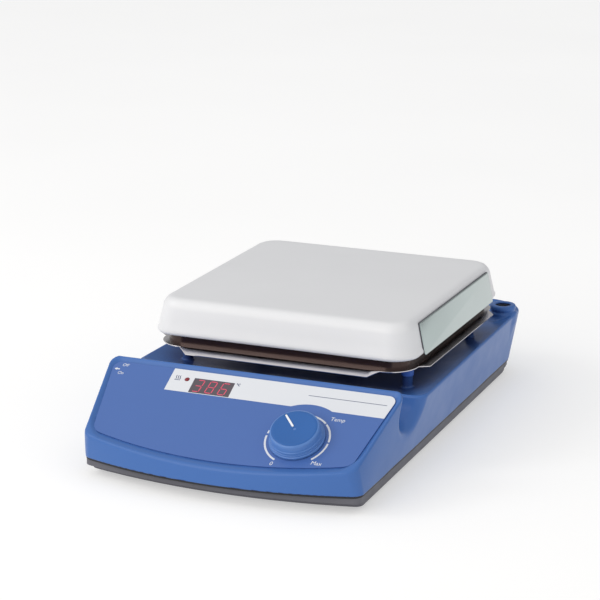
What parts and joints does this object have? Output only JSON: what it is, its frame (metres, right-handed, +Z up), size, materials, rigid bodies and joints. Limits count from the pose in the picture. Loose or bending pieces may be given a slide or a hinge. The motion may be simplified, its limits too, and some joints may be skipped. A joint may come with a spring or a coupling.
{
  "type": "laboratory hot plate",
  "caption": "Square white ceramic-topped laboratory hot plate with a blue housing, a sloping front panel with display and temperature knob, a support rod boss and a rear mains inlet.",
  "frame": {"origin": "middle of the bounding box at the bench surface, under the middle of the body", "axes": "+Z up, the control panel faces -Y, the support rod boss is at +X +Y"},
  "size_m": [0.1924, 0.32, 0.087],
  "materials": {
    "housing_paint": "satin powder coat on cast aluminium",
    "tray_plastic": "fine texture",
    "foot_rubber": "matt",
    "overlay_film": "satin polycarbonate film",
    "window_tint": "clear, tinted",
    "led_lens": "clear, tinted",
    "knob_plastic": "satin",
    "ceramic_white": "semi-gloss",
    "panel_grey": "satin",
    "polished_steel": "mirror",
    "steel": "satin",
    "zinc_screw": "zinc plated",
    "brass_plate": "plated",
    "board_green": "solder mask",
    "black_plastic": "fine texture",
    "seal_white": "matt silicone",
    "fibre_white": "ceramic fibre",
    "coil_wire": "oxidised resistance wire",
    "copper_core": "varnished laminations",
    "blue_plastic": "moulded",
    "alu_fin": "bead blasted",
    "glass_tube": "clear",
    "green_plastic": "moulded",
    "cable_grey": "satin pvc",
    "cable_brown": "satin pvc",
    "cable_glass": "glass-fibre sleeve",
    "stainless_probe": "bright"
  },
  "bodies": {
    "body": {"upper_housing": "housing_paint", "base_tray": "tray_plastic", "rubber_feet": "foot_rubber", "base_screws": "zinc_screw", "panel_overlay": "overlay_film", "display_window": "window_tint", "display_module": "black_plastic", "indicator_led": "led_lens", "potentiometer": "steel", "pot_nut": "brass_plate", "control_board": "board_green", "control_board_screws": "zinc_screw", "switch_body": "black_plastic", "switch_terminals": "brass_plate", "rod_bush": "steel", "heating_plate": "ceramic_white", "side_panel_right": "panel_grey", "side_panel_left": "panel_grey", "hood_seal": "seal_white", "heat_shield": "polished_steel", "shield_screws": "zinc_screw", "heater_pan": "steel", "heater_insulation": "fibre_white", "heating_coil": "coil_wire", "heater_springs": "steel", "heater_terminals": "ceramic_white", "plate_sensor": "stainless_probe", "safety_sensor": "stainless_probe", "lead_grommet": "foot_rubber", "power_board": "board_green", "power_board_screws": "zinc_screw", "transformer": "copper_core", "relays": "blue_plastic", "triac": "black_plastic", "triac_heatsink": "alu_fin", "fuse_clips": "brass_plate", "fuses": "glass_tube", "terminal_block": "green_plastic", "board_capacitors": "black_plastic", "board_sockets": "ceramic_white", "ribbon_cable": "cable_grey", "mains_inlet": "black_plastic", "inlet_pins": "brass_plate", "inlet_screws": "zinc_screw", "earth_stud": "brass_plate", "inlet_wires": "cable_brown", "switch_wires": "cable_brown", "heater_leads": "cable_glass"},
    "knob": {"knob": "knob_plastic", "pot_shaft": "brass_plate"},
    "rocker": {"switch_rocker": "black_plastic"}
  },
  "joints": [
    {"name": "temperature_knob", "type": "hinge", "parent": "body", "child": "knob", "pos_m": [0.044, -0.13174, 0.03671], "axis": [0, 0.4848, -0.8746], "range_deg": [-102, 188]},
    {"name": "power_rocker", "type": "hinge", "parent": "body", "child": "rocker", "pos_m": [-0.0908, -0.104, 0.025], "axis": [0.1668, 0, -0.986], "range_deg": [0, 16]}
  ]
}
